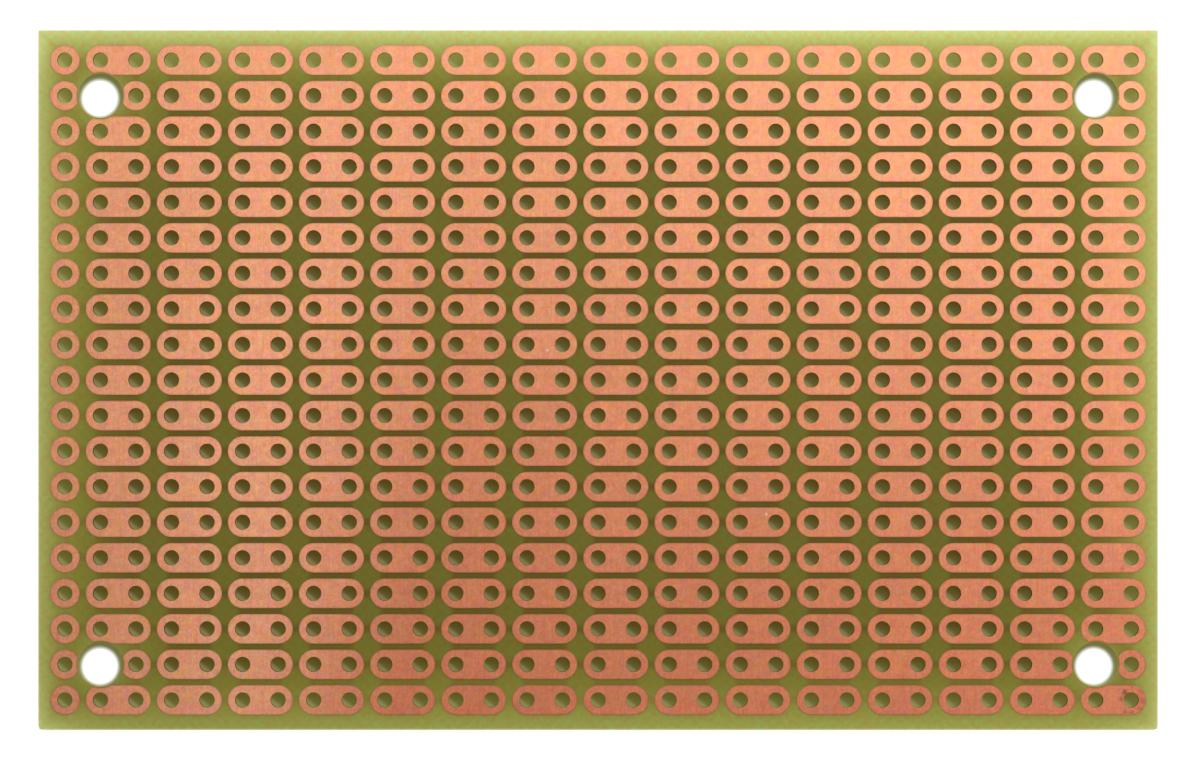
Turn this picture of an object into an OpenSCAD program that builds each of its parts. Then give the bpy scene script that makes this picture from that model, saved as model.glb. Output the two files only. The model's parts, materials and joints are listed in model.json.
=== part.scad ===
// Prototype board: a sheet of glass-epoxy laminate on a 0.1 inch grid of lead holes,
// with etched copper pads on its upper face and a mounting hole near each corner.
//
// The origin is the middle of the underside. X runs along the board, Y across it and Z up.
// Grid cell [0, 0] is the back left hole. Columns count along +X, rows count along -Y.

/* [Board] */
// Length of the board along X
board_l = 80; // [50:1:100]
// Width of the board along Y
board_w = 50; // [30:1:58]
// Thickness of the laminate
board_t = 1.6; // [0.8:0.1:2.4]
// Radius of the two corners at the front edge
corner_r = 0.35; // [0.1:0.05:1]
// Least bare border between the pads and the edge of the board
border_min = 0.5; // [0.4:0.1:2]

/* [Lead holes] */
// Distance between neighbouring holes along X and along Y
pitch = 2.54; // [2.1:0.01:3.2]
// Diameter of a lead hole
lead_d = 1.1; // [0.8:0.01:1.35]

/* [Copper] */
// Thickness of the copper foil
copper_t = 0.035; // [0.018:0.001:0.105]
// Bare channel etched between neighbouring pads
pad_gap = 0.42; // [0.3:0.01:0.52]

/* [Mounting holes] */
// Diameter of a mounting hole
mount_d = 3.2; // [2.2:0.1:4.2]
// Bare ring between the wall of a mounting hole and the copper
mount_bare = 0.08; // [0.05:0.01:0.4]
// Grid steps from the outermost holes in to a mounting hole
mount_steps = 1; // [1:1:3]
// Least laminate left between a mounting hole and a lead hole
web_min = 0.1; // [0.05:0.05:0.5]

/* [Hidden] */
$fn = 48;

// Width of a pad across its round ends
pad_w = pitch - pad_gap;

// One column of ring pads, then as many two-hole pads as the length holds, and whole rows
pairs = floor((board_l - 2 * border_min - pad_w) / (2 * pitch));
columns = 2 * pairs + 1;
rows = floor((board_w - 2 * border_min - pad_w) / pitch) + 1;

// Grid cells that the mounting holes take
mount_cells = [
    for (c = [mount_steps, columns - 1 - mount_steps])
        for (r = [mount_steps, rows - 1 - mount_steps]) [c, r]
];

// Nearest distance at which a lead hole can stand beside a mounting hole
lead_reach = mount_d / 2 + web_min + lead_d / 2;

// Place of a grid cell's centre
function at(cell) = pitch * [cell[0] - (columns - 1) / 2, (rows - 1) / 2 - cell[1]];

// Distance from a grid cell's centre to the nearest mounting hole's
function mount_distance(cell) = min([for (m = mount_cells) norm(at(cell) - at(m))]);

// Whether a mounting hole's bare ring reaches into a pad
function near(m, cells) =
    min([for (cell = cells) norm(at(cell) - at(m))]) < (mount_d + pad_w) / 2 + mount_bare;

// Whether a lead hole is drilled at a grid cell
function drilled(cell) = mount_distance(cell) >= lead_reach;

// Every grid cell with a lead hole
lead_cells = [for (c = [0 : columns - 1]) for (r = [0 : rows - 1]) if (drilled([c, r])) [c, r]];

// The cells of each pad in a row: the ring pad's one cell, then two neighbours for each pair,
// of which a mounting hole can take one or both
function row_pads(r) = [
    for (first = [-1 : 2 : columns - 2])
        let (cells = [for (c = [first, first + 1]) if (c >= 0 && drilled([c, r])) [c, r]])
            if (len(cells) > 0) cells
];

// The three kinds of pad, each with the name of its nodes
RING = "ring_pad";
SINGLE = "single_pads";
PAIRED = "paired_pads";

// Kind of a pad, from the cells that it holds
function kind_of(cells) = len(cells) == 2 ? PAIRED : cells[0][0] == 0 ? RING : SINGLE;

// The pads of one kind in a row
function pads_of(kind, r) = [for (cells = row_pads(r)) if (kind_of(cells) == kind) cells];

// A row's number written with two digits
function two_digits(n) = str(floor(n / 10), n % 10);

// Name of the node that holds one kind of pad in a row, counted from 01 at the back
function pad_node(kind, r) = str(kind, "_row_", two_digits(r + 1));

// Every kind and row that has at least one pad
pad_groups = [
    for (kind = [RING, SINGLE, PAIRED])
        for (r = [0 : rows - 1]) if (len(pads_of(kind, r)) > 0) [kind, r]
];

// Outline of the board, with square corners at the back and rounded ones at the front
module outline() {
    translate([-board_l / 2, corner_r - board_w / 2]) square([board_l, board_w - corner_r]);
    translate([corner_r - board_l / 2, -board_w / 2]) square([board_l - 2 * corner_r, 2 * corner_r]);
    for (side = [-1, 1])
        translate([side * (board_l / 2 - corner_r), corner_r - board_w / 2]) circle(r = corner_r);
}

// Round holes of one diameter, one at each of the given grid cells
module holes(cells, d)
    for (cell = cells) translate(at(cell)) circle(d = d);

// The drilled sheet that carries the copper
module laminate()
    color("darkolivegreen")
        linear_extrude(board_t)
            difference() {
                outline();
                holes(lead_cells, lead_d);
                holes(mount_cells, mount_d);
            }

// Flat shape of a pad before it is drilled: a disc at each cell, with a straight band between two
module pad_shape(cells) {
    for (cell = cells) translate(at(cell)) circle(d = pad_w);
    if (len(cells) == 2)
        translate((at(cells[0]) + at(cells[1])) / 2) square([pitch, pad_w], center = true);
}

// One copper pad, cut back from any mounting hole that comes near it
module pad(cells)
    linear_extrude(copper_t)
        difference() {
            pad_shape(cells);
            holes(cells, lead_d);
            holes([for (m = mount_cells) if (near(m, cells)) m], mount_d + 2 * mount_bare);
        }

// All the pads of one kind in a row, on the upper face of the laminate
module pads(kind, r)
    color("darksalmon")
        translate([0, 0, board_t])
            for (cells = pads_of(kind, r)) pad(cells);

laminate();
for (group = pad_groups)
    pads(group[0], group[1]);
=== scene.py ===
# %% [markdown]
# # A prototype board
#
# The object is a prototype board: a thin sheet of glass-epoxy laminate with a regular grid of holes. One
# face carries small copper pads, most of them long enough for two holes, to which components are soldered.
#
# The sheet, its holes and every pad come from the CAD model, at their real size. They could be modelled
# again here, but their shapes are already exact, so this lesson keeps them and spends its effort on what CAD
# leaves out: the glow of the laminate, the glass cloth in it, the scrubbed and slightly tarnished copper, and
# the light. Loading the frame comes first, and the box that it fills is kept to set the camera's height by.

# %% Load the CAD model
import json
import math

import bpy
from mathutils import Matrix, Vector


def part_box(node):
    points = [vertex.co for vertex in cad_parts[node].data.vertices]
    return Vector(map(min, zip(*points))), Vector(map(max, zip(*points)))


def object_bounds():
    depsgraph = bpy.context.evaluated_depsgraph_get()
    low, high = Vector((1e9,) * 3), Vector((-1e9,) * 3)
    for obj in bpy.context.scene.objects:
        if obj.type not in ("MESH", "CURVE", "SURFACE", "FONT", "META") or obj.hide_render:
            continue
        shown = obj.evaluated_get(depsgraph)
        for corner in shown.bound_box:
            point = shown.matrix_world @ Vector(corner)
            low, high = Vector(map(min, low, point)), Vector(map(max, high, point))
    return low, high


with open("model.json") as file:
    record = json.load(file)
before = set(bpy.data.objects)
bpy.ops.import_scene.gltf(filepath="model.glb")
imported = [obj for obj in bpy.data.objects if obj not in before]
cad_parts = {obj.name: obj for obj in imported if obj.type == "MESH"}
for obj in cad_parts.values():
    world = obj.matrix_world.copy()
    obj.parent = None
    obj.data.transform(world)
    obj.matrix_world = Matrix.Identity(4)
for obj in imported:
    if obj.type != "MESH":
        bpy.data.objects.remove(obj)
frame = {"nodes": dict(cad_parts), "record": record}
cad_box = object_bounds()
print("CAD box, mm:", [[round(v * 1000, 3) for v in corner] for corner in cad_box])

# %% [markdown]
# ## The sizes that the finishes follow
#
# A pattern looks right only if it sits where the object has it: the laminate is darker beside the copper, the
# pads show faintly through the back, and the drill leaves a pale ring round each hole. Those places could be
# typed in, but then they would be wrong as soon as the board changes. They are worked out from the frame:
# the mounts give the holes, and the boxes of the nodes give the pads. All of them are in millimetres.

# %% Measure the board
def millimetres(vector):
    return Vector(vector) * 1000


mounts = {mount["name"]: mount for mount in frame["record"]["mounts"]}
first_hole = millimetres(mounts["lead_hole_back_left"]["pos_m"])
last_hole = millimetres(mounts["lead_hole_front_right"]["pos_m"])
lead_radius = mounts["lead_hole_back_left"]["dims"]["r_mm"]

screws = mounts["mounting_holes"]["dims"]
mount_x = screws["spacing_x_mm"] / 2
mount_y = screws["spacing_y_mm"] / 2
mount_radius = screws["hole_r_mm"]

board = millimetres(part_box("laminate")[1])
ring_low, ring_high = (millimetres(corner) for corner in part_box("ring_pad_row_01"))

rows = sum(name.startswith("paired_pads_row_") for name in frame["nodes"])
pitch = (first_hole.y - last_hole.y) / (rows - 1)
pad_width = ring_high.x - ring_low.x
print(f"{rows} rows at {pitch:.2f} mm, pads {pad_width:.2f} mm wide, laminate {board.z:.2f} mm thick")

# %% [markdown]
# ## Three helpers
#
# Colours are easiest to compare as the hex values of a screen, but the renderer works with linear light. One
# function turns the first into the second. Materials are built from nodes, and adding a node by hand takes
# several lines each time, so a second function does all of it: it adds the node, sets it up, and links or
# fills its sockets. It returns an output, so that one node can feed the next. A third one starts a material.
#
# A Mix node has sockets for several kinds of value, so those for colours go by number: 0 is the factor, 6 is
# the colour at factor 0, 7 is the colour at factor 1, and the result comes out at 2.

# %% Colour and node helpers
def linear(hex_colour):
    """Linear red, green, blue and alpha of an sRGB colour such as "#C87850"."""
    channels = [int(hex_colour[i : i + 2], 16) / 255 for i in (1, 3, 5)]
    return [c / 12.92 if c <= 0.04045 else ((c + 0.055) / 1.055) ** 2.4 for c in channels] + [1.0]


def add(tree, kind, sockets=(), out=0, **settings):
    """Adds a node and returns one of its outputs.

    sockets is a list of the inputs in order, or a dict of them by name or number. An input is a value, or
    another node's output, which is then linked.
    """
    node = tree.nodes.new("ShaderNode" + kind)
    for name, value in settings.items():
        setattr(node, name, value)
    for socket, value in sockets.items() if isinstance(sockets, dict) else enumerate(sockets):
        if isinstance(value, bpy.types.NodeSocket):
            tree.links.new(value, node.inputs[socket])
        else:
            node.inputs[socket].default_value = value
    return node.outputs[out] if node.outputs else node


def empty_material(name):
    """A new material with no nodes in it yet, and its node tree."""
    material = bpy.data.materials.new(name)
    material.use_nodes = True
    material.node_tree.nodes.clear()
    return material, material.node_tree


print("copper pink in linear light:", [round(c, 3) for c in linear("#C87850")])

# %% [markdown]
# ## Places on the board
#
# Every pattern needs to know where on the board it is. Object coordinates give the place in metres from the
# object's origin, and they stay put when the camera or the board moves. Here they become millimetres, with
# and without the height. A Math node then turns a place into a distance, and a distance into a mask: it stays
# sharp at any zoom, where a painted picture would not.

# %% The place in millimetres
def place_on_board(tree):
    """The place in millimetres."""
    metres = add(tree, "TexCoord", out="Object")
    return add(tree, "VectorMath", [metres, (1000, 1000, 1000)], operation="MULTIPLY")


def seen_from_above(tree, place):
    """The same place with no height."""
    return add(tree, "VectorMath", [place, (1, 1, 0)], operation="MULTIPLY")


print(f"places run to x = +-{board.x:.1f} mm and y = +-{board.y:.1f} mm, from z = 0 to {board.z:.3f} mm")

# %% [markdown]
# ## Distances to the edge and to the mounting holes
#
# The board is the same on both sides of its middle, so the place is folded with Absolute: then one corner
# stands for all four, and one mounting hole for all four of them.

# %% Distances by folding
def inside_edge(tree, flat, half_x, half_y):
    """Distance inwards from the sides of a rectangle, negative outside it."""
    folded = add(tree, "VectorMath", [flat], operation="ABSOLUTE")
    left_over = add(tree, "VectorMath", [(half_x, half_y, 0), folded], operation="SUBTRACT")
    sides = [add(tree, "SeparateXYZ", [left_over], out=axis) for axis in "XY"]
    return add(tree, "Math", sides, operation="MINIMUM")


def outside_mount(tree, flat):
    """Distance outwards from the wall of the nearest mounting hole."""
    folded = add(tree, "VectorMath", [flat], operation="ABSOLUTE")
    middle = add(tree, "VectorMath", [folded, (mount_x, mount_y, 0)], out="Value", operation="DISTANCE")
    return add(tree, "Math", [middle, mount_radius], operation="SUBTRACT")


print(f"mounting holes at x = +-{mount_x:.2f} mm and y = +-{mount_y:.2f} mm")

# %% [markdown]
# ## Distances to the lead holes
#
# The lead holes repeat, so their distance is measured in one cell of the grid, into which Wrap brings every
# place. Wrap would go on past the grid, so the distance past the outermost holes is kept too, and the larger
# one counts.

# %% Distances by wrapping
def from_grid_point(tree, flat):
    """The way from the nearest grid point, which is the middle of a lead hole, to the place."""
    half = pitch / 2
    return add(tree, "VectorMath", [flat, (half, half, 1), (-half, -half, -1)], operation="WRAP")


def past_grid(tree, flat):
    """How far past the outermost holes the place is, along X and along Y, negative among them."""
    folded = add(tree, "VectorMath", [flat], operation="ABSOLUTE")
    return add(tree, "VectorMath", [folded, (last_hole.x, first_hole.y, 0)], operation="SUBTRACT")


def outside_lead_hole(tree, flat):
    """Distance outwards from the wall of the nearest lead hole."""
    way = add(tree, "VectorMath", [from_grid_point(tree, flat)], operation="ABSOLUTE")
    way = add(tree, "VectorMath", [way, past_grid(tree, flat)], operation="MAXIMUM")
    middle = add(tree, "VectorMath", [way], out="Value", operation="LENGTH")
    return add(tree, "Math", [middle, lead_radius], operation="SUBTRACT")


print(f"lead holes {2 * lead_radius:.1f} mm wide, every {pitch:.2f} mm")

# %% [markdown]
# ## Distances to the pads
#
# A long pad is a line between two holes with the same distance all round it, which gives the round ends for
# nothing. Its cell has a diamond of bare laminate at each corner, where four pads meet. Stopping at the
# outermost holes also leaves rings in the first column. The copper is cut back round the mounting holes, which
# is one more distance.

# %% Distances to long pads
bare_ring = 0.08  # mm of laminate between a mounting hole and the copper


def in_pair_cell(tree, flat):
    """The way from the middle of the nearest long pad, folded so that one corner stands for all four."""
    pair_middle = (first_hole.x + 1.5 * pitch, 0, 0)
    moved = add(tree, "VectorMath", [flat, pair_middle], operation="SUBTRACT")
    limits = [(pitch, pitch / 2, 1), (-pitch, -pitch / 2, -1)]
    cell = add(tree, "VectorMath", [moved] + limits, operation="WRAP")
    return add(tree, "VectorMath", [cell], operation="ABSOLUTE")


def from_diamond(tree, flat):
    """Distance from the middle of the nearest diamond between four pads."""
    corner = (pitch, pitch / 2, 0)
    return add(tree, "VectorMath", [in_pair_cell(tree, flat), corner], out="Value", operation="DISTANCE")


def outside_copper(tree, flat):
    """Distance outwards from the edge of the nearest pad, negative on the pad."""
    past_line = add(tree, "VectorMath", [in_pair_cell(tree, flat), (pitch / 2, 0, 0)], operation="SUBTRACT")
    past_line = add(tree, "VectorMath", [past_line, (0, 0, 0)], operation="MAXIMUM")
    off_line = add(tree, "VectorMath", [past_line, past_grid(tree, flat)], operation="MAXIMUM")
    reach = add(tree, "VectorMath", [off_line], out="Value", operation="LENGTH")
    pads = add(tree, "Math", [reach, pad_width / 2], operation="SUBTRACT")
    cut_back = add(tree, "Math", [bare_ring, outside_mount(tree, flat)], operation="SUBTRACT")
    return add(tree, "Math", [pads, cut_back], operation="MAXIMUM")


print(f"the pads repeat every {2 * pitch:.2f} mm along X and every {pitch:.2f} mm along Y")

# %% [markdown]
# ## Glass cloth
#
# The sheet is FR-4: layers of woven glass cloth pressed together with epoxy resin. The cloth shows through
# the resin as a faint mottle of little squares, one for each place where a yarn passes over another. A
# checker texture would make hard squares, so two sine waves are multiplied, one along each yarn. Slow noise
# moves the yarns a little first, because pressed cloth is never quite straight. Each yarn is a bundle of
# fibres, so fine streaks run along whichever yarn is on top.

# %% A plain weave
yarn = 0.43  # mm between yarns, both ways
yarn_drift = 0.3  # mm by which the yarns wander
fibre = 0.05  # mm across a streak of fibres, and ten times that along it


def glass_cloth(tree, flat):
    """Brightness of the cloth around 0.5: crossings give the squares, fibres the streaks."""
    wander = add(tree, "TexNoise", {"Vector": flat, "Scale": 0.3, "Detail": 1}, out="Color")
    wander = add(tree, "VectorMath", [wander, (yarn_drift, yarn_drift, 0)], operation="MULTIPLY")
    moved = add(tree, "VectorMath", [flat, wander], operation="ADD")
    turned = add(tree, "VectorMath", [moved, (math.pi / yarn, math.pi / yarn, 0)], operation="MULTIPLY")
    waves = add(tree, "VectorMath", [turned], operation="SINE")
    sides = [add(tree, "SeparateXYZ", [waves], out=axis) for axis in "XY"]
    weave = add(tree, "Math", sides, operation="MULTIPLY")

    streaks = []
    for along_x, along_y in ((0.1, 1), (1, 0.1)):
        stretch = (along_x / fibre, along_y / fibre, 0)
        stretched = add(tree, "VectorMath", [moved, stretch], operation="MULTIPLY")
        streaks.append(add(tree, "TexNoise", {"Vector": stretched, "Scale": 1, "Detail": 2}))
    on_top = add(tree, "MapRange", [weave, -0.2, 0.2], interpolation_type="SMOOTHSTEP")
    fibres = add(tree, "Mix", {"Factor": on_top, "A": streaks[0], "B": streaks[1]}, data_type="FLOAT")
    return add(tree, "Math", [weave, 0.08, fibres], operation="MULTIPLY_ADD")


print(f"cloth of {10 / yarn:.0f} yarns to the centimetre")

# %% [markdown]
# ## How far light gets in the laminate
#
# Epoxy laminate lets light in, scatters it, and lets it out again nearby. Along the edges it comes back bright
# yellow-green. Among the pads most of it is lost under the copper, and what comes back is dark olive.
# Subsurface scattering could compute this, but it is slow and is lost when the model is exported, so the
# glow is painted by distance. It falls off exponentially from the edges inwards, as light does in a cloudy
# material. A mounting hole lets light in too, as if the edge were a little further off, and a corner of the
# board is lit through two sides at once.

# %% The glow of the laminate
resin_reach = 2.1  # mm over which the glow falls to about a third
mount_delay = 1.7  # mm of laminate that dims the glow as much as a mounting hole does


def glow(tree, flat):
    """1 at the edge of the board, falling towards 0 among the pads."""
    from_edge = inside_edge(tree, flat, board.x, board.y)
    from_mount = add(tree, "Math", [outside_mount(tree, flat), mount_delay], operation="ADD")
    nearest = add(tree, "Math", [from_edge, from_mount], operation="MINIMUM")
    reaches = add(tree, "Math", [nearest, -1 / resin_reach], operation="MULTIPLY")
    return add(tree, "Math", [add(tree, "Math", [reaches], operation="EXPONENT"), 1], operation="MINIMUM")


def corner_glow(tree, flat):
    """1 at a corner of the board, falling towards 0 away from either of its two sides."""
    folded = add(tree, "VectorMath", [flat], operation="ABSOLUTE")
    both = add(tree, "VectorMath", [folded, (1, 1, 0)], out="Value", operation="DOT_PRODUCT")
    inwards = add(tree, "Math", [board.x + board.y, both], operation="SUBTRACT")
    reaches = add(tree, "Math", [inwards, -1 / resin_reach], operation="MULTIPLY")
    return add(tree, "Math", [reaches], operation="EXPONENT")


print(f"2 mm in, the glow is {math.exp(-2 / resin_reach):.2f} of what it is at the edge")

# %% [markdown]
# ## The tone of the edges
#
# The light comes over the back edge, a little from the right, so the resin glows most at the back, less along
# the two sides and least along the front, and the right is a little brighter than the left. A colour ramp
# across the board holds these tones, from the front edge to the back, and the corners are the palest. The
# resin soaks up blue first, so the deeper the light has been, the yellower it comes back.

# %% Colour of the glowing resin
edge_tones = ((0, "#9B9D4D"), (0.04, "#A6A85A"), (0.93, "#BABB6B"), (0.985, "#CED380"))
side_light = (0.92, 1.07)  # brightness at the -X end and at the +X end
corner_tone = "#D6DA8C"
corner_share = 0.7  # how much of that tone there is at the very corner
deep_tint = (1.04, 1.0, 0.4)  # what is left of red, green and blue deep in the resin


def glowing_resin(tree, flat):
    """Colour of the laminate where light gets in, from the edge inwards."""
    across = add(tree, "SeparateXYZ", [flat], out="Y")
    across = add(tree, "MapRange", [across, -board.y, board.y])
    colour = add(tree, "ValToRGB", [across])
    stops = colour.node.color_ramp.elements
    while len(stops) < len(edge_tones):
        stops.new(0.5)
    for stop, (position, tone) in zip(stops, edge_tones):
        stop.position = position
        stop.color = linear(tone)
    along = add(tree, "SeparateXYZ", [flat], out="X")
    light = add(tree, "MapRange", [along, -board.x, board.x, *side_light])
    colour = add(tree, "VectorMath", {0: colour, "Scale": light}, operation="SCALE")
    corner = add(tree, "Math", [corner_glow(tree, flat), corner_share], operation="MULTIPLY")
    colour = add(tree, "Mix", {0: corner, 6: colour, 7: linear(corner_tone)}, out=2, data_type="RGBA")
    deep = add(tree, "VectorMath", [colour, deep_tint], operation="MULTIPLY")
    return add(tree, "Mix", {0: glow(tree, flat), 6: deep, 7: colour}, out=2, data_type="RGBA")


print("edge tones, front to back:", [tone for position, tone in edge_tones])

# %% [markdown]
# ## The pad side of the laminate
#
# Between the pads the resin is darkest in the narrow channels, because copper on both sides keeps the light
# out of them. It is a little lighter in the diamonds, and it is flecked with brown and green. At the very edge
# of the board the saw has crushed the resin and turned it paler, and this pale rim is also a painted highlight
# where the sawn edge catches the light.

# %% Colour of the pad side
open_from_copper = (0.12, 0.5)  # mm from the copper between which the resin turns lighter
diamond_reach = (0.75, 1.25)  # mm from the middle of a diamond between which it turns darker again
pale_rim = 0.15  # mm of resin that cutting turns pale, and along the board's edge also a painted highlight
# Colour of the pale rim: crushed resin, and on the board's edge also a painted highlight.
pale_rim_colour = linear("#D8D8A4")


def pad_side(tree, flat):
    """Colour of the resin between the pads and round them."""
    copper = outside_copper(tree, flat)
    wide = add(tree, "MapRange", [copper, *open_from_copper], interpolation_type="SMOOTHSTEP")
    fades = [from_diamond(tree, flat), *diamond_reach, 1, 0]
    diamond = add(tree, "MapRange", fades, interpolation_type="SMOOTHSTEP")
    is_open = add(tree, "Math", [wide, diamond], operation="MAXIMUM")
    among_pads = {6: linear("#5C4E11"), 7: linear("#69631E")}
    shaded = add(tree, "Mix", {0: is_open} | among_pads, out=2, data_type="RGBA")
    flecks = add(tree, "TexNoise", {"Vector": flat, "Scale": 2.8, "Detail": 3})
    flecks = add(tree, "MapRange", [flecks, 0.35, 0.65])
    tints = {6: (1.2, 0.91, 0.78, 1), 7: (0.83, 1.1, 1.22, 1)}
    tint = add(tree, "Mix", {0: flecks} | tints, out=2, data_type="RGBA")
    shaded = add(tree, "VectorMath", [shaded, tint], operation="MULTIPLY")
    lit = glowing_resin(tree, flat)
    colour = add(tree, "Mix", {0: glow(tree, flat), 6: shaded, 7: lit}, out=2, data_type="RGBA")

    # The pale rim along the board's edge: crushed resin, with a painted highlight where the sawn edge catches
    # the light.
    edge = inside_edge(tree, flat, board.x, board.y)
    pale = add(tree, "MapRange", [edge, 0, pale_rim, 0.45, 0], interpolation_type="SMOOTHSTEP")
    return add(tree, "Mix", {0: pale, 6: colour, 7: pale_rim_colour}, out=2, data_type="RGBA")


print(f"the saw has turned {pale_rim} mm of the edge pale")

# %% [markdown]
# ## The back of the laminate
#
# The back is bare, and paler than the gaps between the pads, because nothing keeps the light out. The copper
# on the far side shows through the resin as soft shadows, which the same distances give, only blurred.
# Drilling from the copper side breaks the resin out a little where the drill comes through, so every hole has
# a pale ring here.

# %% Colour of the back
shadow_edge = (-0.5, 0.4)  # mm from a pad's edge between which its shadow fades


def back_side(tree, flat):
    """Colour of the bare back, with a soft shadow for each pad."""
    copper = outside_copper(tree, flat)
    shadow = add(tree, "MapRange", [copper, *shadow_edge], interpolation_type="SMOOTHSTEP")
    shades = {6: linear("#8C8540"), 7: linear("#A5A556")}
    colour = add(tree, "Mix", {0: shadow} | shades, out=2, data_type="RGBA")

    edge = inside_edge(tree, flat, board.x, board.y)
    for rim in (outside_mount(tree, flat), outside_lead_hole(tree, flat)):
        edge = add(tree, "Math", [edge, rim], operation="MINIMUM")
    pale = add(tree, "MapRange", [edge, 0, pale_rim, 0.6, 0], interpolation_type="SMOOTHSTEP")
    return add(tree, "Mix", {0: pale, 6: colour, 7: pale_rim_colour}, out=2, data_type="RGBA")


print(f"a shadow of {pad_width:.2f} mm for each pad on the back")

# %% [markdown]
# ## The cut sides and the drilled walls
#
# Where the sheet is sawn, the plies of cloth show as thin pale lines along the side. The drill has polished
# the walls of the holes, and light that has crossed the resin makes them golden, most of all near the edges.

# %% Colour of the sides
plies = 8  # sheets of cloth in the laminate
inner_wall = (0.05, 0.1)  # mm inwards from which a wall belongs to a hole


def cut_side(tree, place, flat):
    """Colour of the sawn sides, with their plies, and of the drilled walls."""
    height = add(tree, "SeparateXYZ", [place], out="Z")
    turns = add(tree, "Math", [height, 2 * math.pi * plies / board.z], operation="MULTIPLY")
    ply = add(tree, "Math", [turns], operation="COSINE")
    ply = add(tree, "MapRange", [ply, -1, 1], interpolation_type="SMOOTHSTEP")
    cloth = {6: linear("#94944A"), 7: linear("#B9B980")}
    sawn = add(tree, "Mix", {0: ply} | cloth, out=2, data_type="RGBA")
    walls = {6: linear("#6E5420"), 7: linear("#D8CC80")}
    drilled = add(tree, "Mix", {0: glow(tree, flat)} | walls, out=2, data_type="RGBA")
    edge = inside_edge(tree, flat, board.x, board.y)
    within = add(tree, "MapRange", [edge, *inner_wall], interpolation_type="SMOOTHSTEP")
    return add(tree, "Mix", {0: within, 6: sawn, 7: drilled}, out=2, data_type="RGBA")


print(f"{plies} plies of {board.z / plies:.2f} mm")

# %% [markdown]
# ## The laminate
#
# The material is named for what it is: FR-4, glass cloth in epoxy, pressed in sheets, drilled and sawn. Its
# index of refraction is 1.55. The foil was etched away from the pad side and has left its fine tooth in the
# resin, which scatters most of the reflection, so the specular level is low. One material serves the whole
# node, because the node is one piece: the height tells the two faces and the sides apart. Grain shifts the
# hue a little between yellow and green, as resin and glass take turns.

# %% FR-4 laminate
skin = 0.01  # mm from a face within which a place counts as on it


def fr4_laminate():
    """Yellow-green resin with glass cloth in it: satin on its faces, matt where it is cut."""
    material, tree = empty_material("FR-4 glass epoxy")
    place = place_on_board(tree)
    flat = seen_from_above(tree, place)

    height = add(tree, "SeparateXYZ", [place], out="Z")
    is_back = add(tree, "Math", [height, skin], operation="LESS_THAN")
    is_front = add(tree, "Math", [height, board.z - skin], operation="GREATER_THAN")
    is_face = add(tree, "Math", [is_back, is_front], operation="ADD")
    faces = {6: pad_side(tree, flat), 7: back_side(tree, flat)}
    colour = add(tree, "Mix", {0: is_back} | faces, out=2, data_type="RGBA")
    side = cut_side(tree, place, flat)
    colour = add(tree, "Mix", {0: is_face, 6: side, 7: colour}, out=2, data_type="RGBA")

    cloth = glass_cloth(tree, flat)
    grain = add(tree, "TexNoise", {"Vector": place, "Scale": 3.5, "Detail": 4, "Roughness": 0.6})
    hue = add(tree, "MapRange", [grain, 0.35, 0.65])
    tints = {6: (1.12, 0.96, 0.85, 1), 7: (0.88, 1.04, 1.15, 1)}
    tint = add(tree, "Mix", {0: hue} | tints, out=2, data_type="RGBA")
    colour = add(tree, "VectorMath", [colour, tint], operation="MULTIPLY")
    mottle = add(tree, "Math", [cloth, grain], operation="ADD")
    light = add(tree, "MapRange", [mottle, 0.6, 1.4, 0.87, 1.13])
    colour = add(tree, "VectorMath", {0: colour, "Scale": light}, operation="SCALE")

    rough = add(tree, "MapRange", [grain, 0.3, 0.7, 0.45, 0.6])
    bump = add(tree, "Bump", {"Height": mottle, "Strength": 0.3, "Distance": 0.00001})
    look = {
        "Base Color": colour, "Roughness": rough, "Normal": bump,
        "IOR": 1.55, "Specular IOR Level": 0.12,
    }
    add(tree, "OutputMaterial", [add(tree, "BsdfPrincipled", look)])
    return material


laminate_finish = fr4_laminate()
print(laminate_finish.name, "has", len(laminate_finish.node_tree.nodes), "nodes")

# %% [markdown]
# ## Brush lines and grain on the copper
#
# The pads are rolled copper foil, scrubbed clean with an abrasive brush before it was lacquered. A metal
# shows almost nothing but reflections, so its look comes from its roughness, its tint and what stands around
# it. The brush leaves fine lines along the board's width, made of noise that is stretched that way. Near one
# end there is a paler band, whose two sides are ramps along the board.

# %% Brushed grain
line_width = 0.07  # mm across a brush line
line_length = 2.5  # mm along it
band_full = -27  # mm along X up to which the paler band rises
band_fades = (-22, -11)  # mm along X between which it fades, at the middle of the width
band_lean = -0.15  # mm for each mm towards the back: the minus sign moves the fading side right
band_front = (24, -6)  # mm along Y between which it gets stronger, towards the front


def brushed_grain(tree, place):
    """Brightness around 0.5: fine lines over finer grain."""
    stretch = (1 / line_width, 1 / line_length, 1 / line_width)
    stretched = add(tree, "VectorMath", [place, stretch], operation="MULTIPLY")
    lines = add(tree, "TexNoise", {"Vector": stretched, "Scale": 1, "Detail": 2})
    grain = add(tree, "TexNoise", {"Vector": place, "Scale": 7, "Detail": 3})
    return add(tree, "Math", [lines, 0.6, grain], operation="MULTIPLY_ADD")


def patches(tree, flat):
    """0 to 1 in broad soft patches, a few pads across."""
    return add(tree, "TexNoise", {"Vector": flat, "Scale": 0.09, "Detail": 2})


def pale_band(tree, flat):
    """A paler band near the -X end that fades out towards the back."""
    x = add(tree, "SeparateXYZ", [flat], out="X")
    left = add(tree, "MapRange", [x, -board.x, band_full, 0.35, 1])
    y = add(tree, "SeparateXYZ", [flat], out="Y")
    leaning = add(tree, "Math", [y, band_lean, x], operation="MULTIPLY_ADD")
    right = add(tree, "MapRange", [leaning, *band_fades, 1, 0])
    band = add(tree, "Math", [left, right], operation="MULTIPLY")
    towards_front = add(tree, "MapRange", [y, *band_front, 0.1, 0.8])
    return add(tree, "Math", [band, towards_front], operation="MULTIPLY")


print(f"brush lines {line_width} mm wide and {line_length} mm long")
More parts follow.
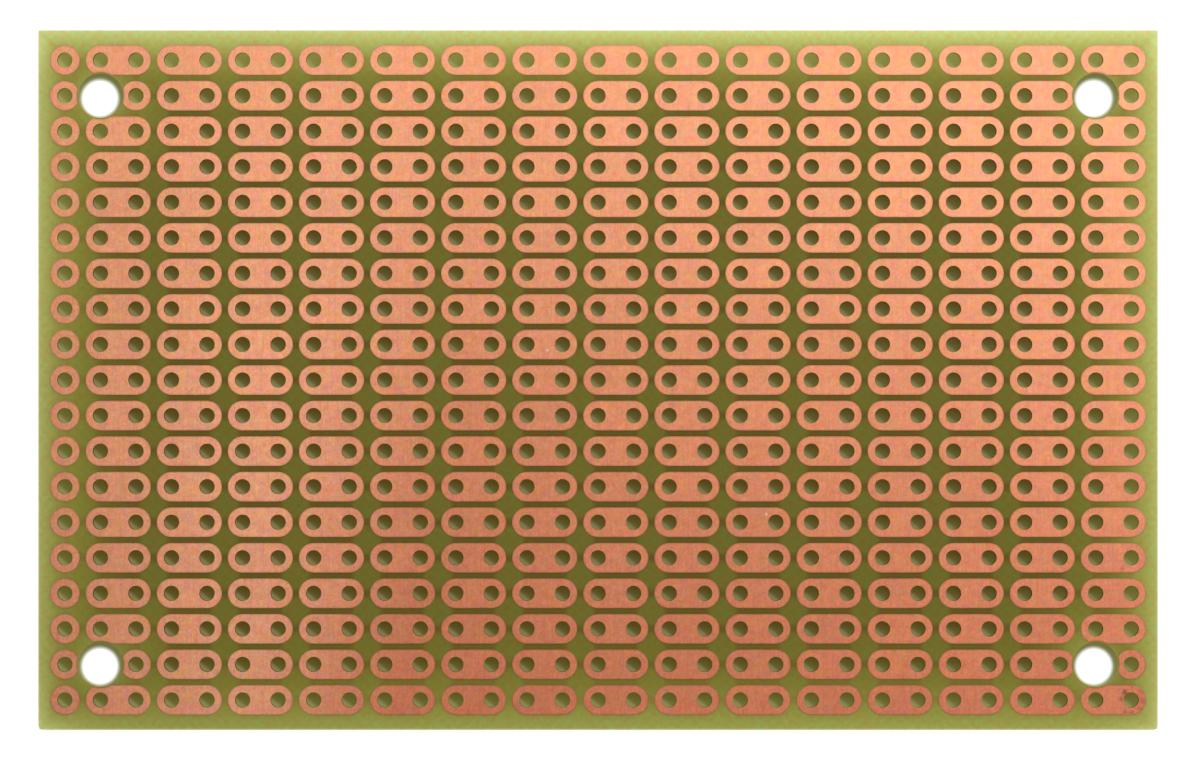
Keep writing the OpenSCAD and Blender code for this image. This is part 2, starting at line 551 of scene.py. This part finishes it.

# %% [markdown]
# ## Tarnish
#
# Bare copper darkens and reddens in air. It does so first along etched edges and where it was touched, and
# not evenly. A few marks are listed by their column and row in the grid, and so are three pale specks where
# something scratched the foil. One function draws both kinds, with noise to make them ragged.

# %% Marks
tarnish_marks = (  # column, row, radius in mm and strength
    (29.82, 17.79, 0.3, 0.9),
    (29.72, 17.96, 0.26, 0.65),
    (29.83, 18.36, 0.24, 0.5),
    (30.0, 18.36, 0.26, 0.5),
    (30.28, 17.76, 0.35, 0.4),
    (30.34, 18.02, 0.4, 0.5),
    (30.27, 18.28, 0.35, 0.45),
    (30.02, 17.66, 0.18, 0.4),
    (30.3, -0.25, 0.3, 0.3),
    (29.75, 14.3, 0.2, 0.5),
    (30.3, 16.7, 0.25, 0.4),
    (25.35, 2.45, 0.3, 0.25),
)
etched_edge = (-0.12, 0.0)  # mm from a pad's edge between which it darkens
pale_specks = ((19.73, 12.77, 0.13, 0.6), (13.57, 8.16, 0.11, 0.5), (3.24, 16.09, 0.1, 0.4))


def marks(tree, flat, places):
    """0 beside the marks, up to the strength of each one on it."""
    amount = 0.0
    ragged = add(tree, "TexNoise", {"Vector": flat, "Scale": 4.5, "Detail": 2})
    for column, row, radius, strength in places:
        middle = (first_hole.x + column * pitch, first_hole.y - row * pitch, 0)
        away = add(tree, "VectorMath", [flat, middle], out="Value", operation="DISTANCE")
        outline = add(tree, "Math", [ragged, 2 * radius, away], operation="MULTIPLY_ADD")
        limits = [outline, 0.9 * radius, 2.2 * radius, strength, 0]
        mark = add(tree, "MapRange", limits, interpolation_type="SMOOTHSTEP")
        amount = add(tree, "Math", [amount, mark], operation="MAXIMUM")
    return amount


def tarnish(tree, flat):
    """0 on clean copper, up to 1 where it is darkest."""
    copper = outside_copper(tree, flat)
    etched = add(tree, "MapRange", [copper, *etched_edge, 0, 0.35], interpolation_type="SMOOTHSTEP")
    return add(tree, "Math", [etched, marks(tree, flat, tarnish_marks)], operation="MAXIMUM")


print(len(tarnish_marks), "dark marks and", len(pale_specks), "pale specks placed by hand")

# %% [markdown]
# ## The tint of the copper
#
# The colour of a metal is the colour of its reflections. This one is a little redder towards the front, and
# paler and more orange towards the back, which is a painted sheen for the softbox's stronger reflection there.
# The grains of the foil shift it between orange and pink. The Color of a Noise node is three noises at once, so
# it changes red, green and blue each on its own. Each pad differs a little from its neighbours: White Noise
# gives
# one random value for each cell of the grid.

# %% Tint and chance
crystal_gain = (0.4, 0.66, 1.5)  # how much the noise moves red, green and blue
crystal_least = (0.8, 0.67, 0.25)  # what is left of them where the noise is 0


def copper_tint(tree, place, flat):
    """Colour of the clean metal: pink, sheen painted at the back, paler in the band, with the foil's grains in
    it.
    """
    # From the front to the back the pink turns paler and more orange: a painted sheen, for the softbox's
    # stronger reflection at the back.
    across = add(tree, "SeparateXYZ", [flat], out="Y")
    back = add(tree, "MapRange", [across, -board.y, board.y / 2])
    pink_and_painted_sheen = {6: linear("#D8784D"), 7: linear("#D7885B")}
    colour = add(tree, "Mix", {0: back} | pink_and_painted_sheen, out=2, data_type="RGBA")
    pale = {6: colour, 7: linear("#FFAD81")}
    colour = add(tree, "Mix", {0: pale_band(tree, flat)} | pale, out=2, data_type="RGBA")
    crystals = add(tree, "TexNoise", {"Vector": place, "Scale": 2.0, "Detail": 3}, out="Color")
    shares = [crystals, crystal_gain, crystal_least]
    tint = add(tree, "VectorMath", shares, operation="MULTIPLY_ADD")
    return add(tree, "VectorMath", [colour, tint], operation="MULTIPLY")


def pad_light(tree, flat):
    """One random brightness for each pad, close to 1."""
    corner = (first_hole.x - 0.5 * pitch, first_hole.y - 0.5 * pitch, 0)
    moved = add(tree, "VectorMath", [flat, corner], operation="SUBTRACT")
    cells = add(tree, "VectorMath", [moved, (2 * pitch, pitch, 1)], operation="DIVIDE")
    cells = add(tree, "VectorMath", [cells, (0.5, 0, 0)], operation="ADD")
    pad = add(tree, "VectorMath", [cells], operation="FLOOR")
    chance = add(tree, "TexWhiteNoise", [pad])
    return add(tree, "MapRange", [chance, 0, 1, 0.97, 1.03])


print(f"one random brightness for each cell of {2 * pitch:.2f} by {pitch:.2f} mm")

# %% [markdown]
# ## The copper
#
# The metal keeps the default index of refraction. The grain of the brush changes its brightness and its
# roughness together, and the marks lie over its tint. A thin coat stands for the lacquer, which adds a faint
# white sheen over the pink one. The lacquer could be a second surface, but it is thinner than anything that
# can be seen, and the Coat of the shader is made for it.

# %% Copper foil
def copper_foil():
    """Salmon-pink metal with a soft sheen, faint brush lines and small differences from pad to pad."""
    material, tree = empty_material("Scrubbed copper foil")
    place = place_on_board(tree)
    flat = seen_from_above(tree, place)

    grain = brushed_grain(tree, place)
    colour = copper_tint(tree, place, flat)
    tone = add(tree, "Math", [patches(tree, flat), 0.18, grain], operation="MULTIPLY_ADD")
    tone = add(tree, "MapRange", [tone, 0.49, 1.29, 0.8, 1.2])
    colour = add(tree, "VectorMath", {0: colour, "Scale": tone}, operation="SCALE")
    pale = {6: colour, 7: linear("#FFE0D0")}
    colour = add(tree, "Mix", {0: marks(tree, flat, pale_specks)} | pale, out=2, data_type="RGBA")
    dark = {6: colour, 7: linear("#742F1E")}
    colour = add(tree, "Mix", {0: tarnish(tree, flat)} | dark, out=2, data_type="RGBA")
    colour = add(tree, "VectorMath", {0: colour, "Scale": pad_light(tree, flat)}, operation="SCALE")

    rough = add(tree, "MapRange", [grain, 0.5, 1.1, 0.29, 0.34])
    bump = add(tree, "Bump", {"Height": grain, "Strength": 0.15, "Distance": 0.000004})
    look = {
        "Base Color": colour, "Metallic": 1.0, "Roughness": rough, "Normal": bump,
        "Coat Weight": 1.0, "Coat Roughness": 0.24, "Coat IOR": 1.6,
    }
    add(tree, "OutputMaterial", [add(tree, "BsdfPrincipled", look)])
    return material


copper_finish = copper_foil()
print(copper_finish.name, "has", len(copper_finish.node_tree.nodes), "nodes")

# %% [markdown]
# ## Putting the finishes on
#
# Each node of the CAD model came with a slot that is named for what it is made of. The foil was laminated to
# the whole sheet and then etched, so all the pads are the same copper and share one material. The patterns
# still differ from pad to pad, because they follow the place on the board and not the pad.

# %% Fill the slots of the CAD nodes
finishes = {"laminate": laminate_finish, "copper": copper_finish}
for part in frame["nodes"].values():
    for slot in part.material_slots:
        slot.material = finishes[slot.name.split(".")[0]]
print("finishes put on", len(frame["nodes"]), "nodes")

# %% [markdown]
# ## White light on the table
#
# The board lies on a sheet of white paper. In the open the paper is plain white. Under the board it is dark,
# apart from the mounting holes, which are wide enough for it to show white in them too. The light comes over
# the back edge and a little from the right, so the white lies towards the front left of each hole, with a soft
# edge. A lead hole is too narrow for that: the light reaches only the front left of its floor.

# %% Where the paper is white
lit_offset = (0.08, 0.145, 0)  # mm by which a mounting hole's white disc lies to its front left
lit_margin = 0.295  # mm from the wall to the white disc
blur = 0.22  # mm over which the disc fades, inwards and outwards
slant = (-0.65, -0.76, 0)  # the way in which the light crosses a lead hole
patch_edge = (0.1, 0.4)  # mm from the hole's middle between which its lit patch begins


def white_disc(tree, flat):
    """1 on the lit part of a mounting hole's floor."""
    moved = add(tree, "VectorMath", [flat, lit_offset], operation="ADD")
    soft = [outside_mount(tree, moved), -lit_margin - blur, -lit_margin + blur, 1, 0]
    return add(tree, "MapRange", soft, interpolation_type="SMOOTHSTEP")


def light_patch(tree, flat):
    """1 on the side of a lead hole's floor that the light reaches, and 0 in the shade."""
    way = from_grid_point(tree, flat)
    along = add(tree, "VectorMath", [way, slant], out="Value", operation="DOT_PRODUCT")
    return add(tree, "MapRange", [along, *patch_edge], interpolation_type="SMOOTHSTEP")


print(f"white discs of {mount_radius - lit_margin:.2f} mm radius in holes of {mount_radius:.2f} mm")

# %% [markdown]
# ## Olive light under the board
#
# The rest of what can be seen through the holes is lit by what comes down through the resin, which is olive by
# then. It is brightest near the board's edges, and more so at the back, where the softbox is. Finding all this
# light by bouncing rays in the sheet would take very long, so it is painted, like the glow of the resin.

# %% Light on the paper under the board
deep_light = linear("#493500")  # far from every edge
direct_light = linear("#56513E")[:3]  # added where light comes straight down a lead hole
mount_light = linear("#4C4722")  # round the white disc in a mounting hole
glow_share = (0.36, 0.7)  # how much of the resin's glow gets through, from the middle to the back edge


def light_under_board(tree, flat):
    """Colour of the light that comes down to the paper through the resin and the lead holes."""
    across = add(tree, "SeparateXYZ", [flat], out="Y")
    share = add(tree, "MapRange", [across, 0, board.y, *glow_share])
    near_edge = add(tree, "VectorMath", {0: glowing_resin(tree, flat), "Scale": share}, operation="SCALE")
    lit = add(tree, "Mix", {0: glow(tree, flat), 6: deep_light, 7: near_edge}, out=2, data_type="RGBA")
    direct = {0: direct_light, "Scale": light_patch(tree, flat)}
    lit = add(tree, "VectorMath", [lit, add(tree, "VectorMath", direct, operation="SCALE")], operation="ADD")
    in_mount = add(tree, "MapRange", [outside_mount(tree, flat), 0.02, 0.1, 1, 0])
    return add(tree, "Mix", {0: in_mount, 6: lit, 7: mount_light}, out=2, data_type="RGBA")


print("the deepest light is", [round(c, 3) for c in deep_light[:3]], "in linear light")

# %% [markdown]
# ## A window in the paper
#
# The paper touches the board's underside, and none of it right under the laminate can be seen, so there it has
# a window. In a view from below, the window lets the light of the room reach the back of the board, and the
# holes are open too. The window could be cut out of the sheet, but a transparent shader needs no cutting and
# knows from which side it is seen.

# %% Window
hidden = 0.03  # mm by which the window stays back from the edges that can be seen


def window(tree, flat, edge):
    """1 where the paper is left out: under the laminate, and in the holes as seen from below."""
    holes = [outside_lead_hole(tree, flat), outside_mount(tree, flat)]
    nearest = add(tree, "Math", holes, operation="MINIMUM")
    covered = add(tree, "Math", [nearest, hidden], operation="GREATER_THAN")
    from_below = add(tree, "NewGeometry", out="Backfacing")
    unseen = add(tree, "Math", [covered, from_below], operation="MAXIMUM")
    inside = add(tree, "Math", [edge, hidden], operation="GREATER_THAN")
    return add(tree, "Math", [unseen, inside], operation="MULTIPLY")


print(f"the window stays {hidden} mm back from the holes and the sides")

# %% [markdown]
# ## The paper
#
# Its own colour does most of the white, and a little light of its own, for the camera and for reflections
# only, does the rest, so that the board's shadow still shows on it. More light in the room would make it
# white too, but would wash out the board.

# %% White paper
table_size = 3  # m
outline_blur = 0.02  # mm on each side of the board's outline over which the paper turns white
own_white = (0.6, 0.85)  # strength of its own light in the open, and in a mounting hole, where it is shaded


def white_paper():
    """Matt white paper, with the olive light of the resin on it under the board."""
    material, tree = empty_material("White paper")
    flat = seen_from_above(tree, place_on_board(tree))

    edge = inside_edge(tree, flat, board.x, board.y)
    is_open = add(tree, "MapRange", [edge, -outline_blur, outline_blur, 1, 0])
    disc = white_disc(tree, flat)
    is_white = add(tree, "Math", [is_open, disc], operation="MAXIMUM")
    papers = {6: linear("#9CAE76"), 7: linear("#F2F2F2")}
    paper = add(tree, "Mix", {0: is_white} | papers, out=2, data_type="RGBA")
    diffuse = add(tree, "BsdfDiffuse", {"Color": paper})

    white = add(tree, "MapRange", [disc, 0, 1, *own_white])
    lights = {6: light_under_board(tree, flat), 7: white}
    lit = add(tree, "Mix", {0: is_white} | lights, out=2, data_type="RGBA")
    rays = add(tree, "LightPath").node.outputs
    seen = add(tree, "Math", [rays["Is Camera Ray"], rays["Is Glossy Ray"]], operation="MAXIMUM")
    seen = add(tree, "Math", [seen, rays["Is Transmission Ray"]], operation="MAXIMUM")
    own_light = add(tree, "Emission", {"Color": lit, "Strength": seen})

    sheet = add(tree, "AddShader", [diffuse, own_light])
    nothing = add(tree, "BsdfTransparent")
    left_out = window(tree, flat, edge)
    add(tree, "OutputMaterial", [add(tree, "MixShader", [left_out, sheet, nothing])])
    return material


bpy.ops.object.select_all(action="DESELECT")
bpy.ops.mesh.primitive_plane_add(size=table_size)
table = bpy.context.object
table.name = "table"
table.data.materials.append(white_paper())
print("table laid at z =", table.location.z)

# %% [markdown]
# ## The room
#
# Copper looks flat in an even white room, because it has nothing to reflect. A real room is bright round the
# sides and darker overhead, so the world goes from white at the horizon to grey at the top.

# %% World
horizon, overhead = 1.0, 0.45  # strength of the light from the sides and from the top

world = bpy.data.worlds.new("White studio")
world.use_nodes = True
bpy.context.scene.world = world
tree = world.node_tree
tree.nodes.clear()
up = add(tree, "SeparateXYZ", [add(tree, "TexCoord", out="Generated")], out="Z")
strength = add(tree, "MapRange", [up, 0, 1, horizon, overhead], interpolation_type="SMOOTHSTEP")
background = add(tree, "Background", {"Color": (1, 1, 1, 1), "Strength": strength})
add(tree, "OutputWorld", [background])
print("world:", len(tree.nodes), "nodes")

# %% [markdown]
# ## The softbox
#
# One large softbox stands over the back edge, a little to the right. Its light comes down into the holes at a
# slant, so their back walls stay dark and the front of each floor is lit. In the copper it is a broad blurred
# reflection that is stronger towards the back, which gives the pads their slow change from back to front.

# %% Softbox
softbox_size = 0.3  # m
softbox_place = (0.054, 0.138, 0.242)  # m from the middle of the board's underside
softbox_radiance = 1.72  # brightness of its face, where 1 is the white of the horizon

softbox_data = bpy.data.lights.new("softbox", "AREA")
softbox_data.shape = "SQUARE"
softbox_data.size = softbox_size
softbox_data.energy = softbox_radiance * math.pi * softbox_size**2
softbox = bpy.data.objects.new("softbox", softbox_data)
softbox.location = softbox_place
softbox.rotation_euler = (-softbox.location).to_track_quat("-Z", "Y").to_euler()
softbox.visible_camera = False
bpy.context.scene.collection.objects.link(softbox)
print(f"softbox of {softbox_data.energy:.2f} W, {softbox.location.length * 1000:.0f} mm away")

# %% [markdown]
# ## The camera
#
# The board is seen from straight above, with its back edge at the top. The lens is worked out from the width
# that the camera takes in at the height of the copper.

# %% Camera
camera_height = 1.0  # m above the copper
view_width = 0.08575  # m taken in at the copper
off_middle = 0.00014  # m by which the camera stands to the right and to the front of the board's middle

camera_data = bpy.data.cameras.new("camera")
camera_data.lens = camera_data.sensor_width * camera_height / view_width
camera_data.clip_start = 0.01
camera_data.clip_end = 20
camera = bpy.data.objects.new("camera", camera_data)
camera.location = (off_middle, -off_middle, cad_box[1].z + camera_height)
bpy.context.scene.collection.objects.link(camera)
bpy.context.scene.camera = camera
bpy.context.scene.view_settings.view_transform = "Standard"
print(f"lens {camera_data.lens:.1f} mm")
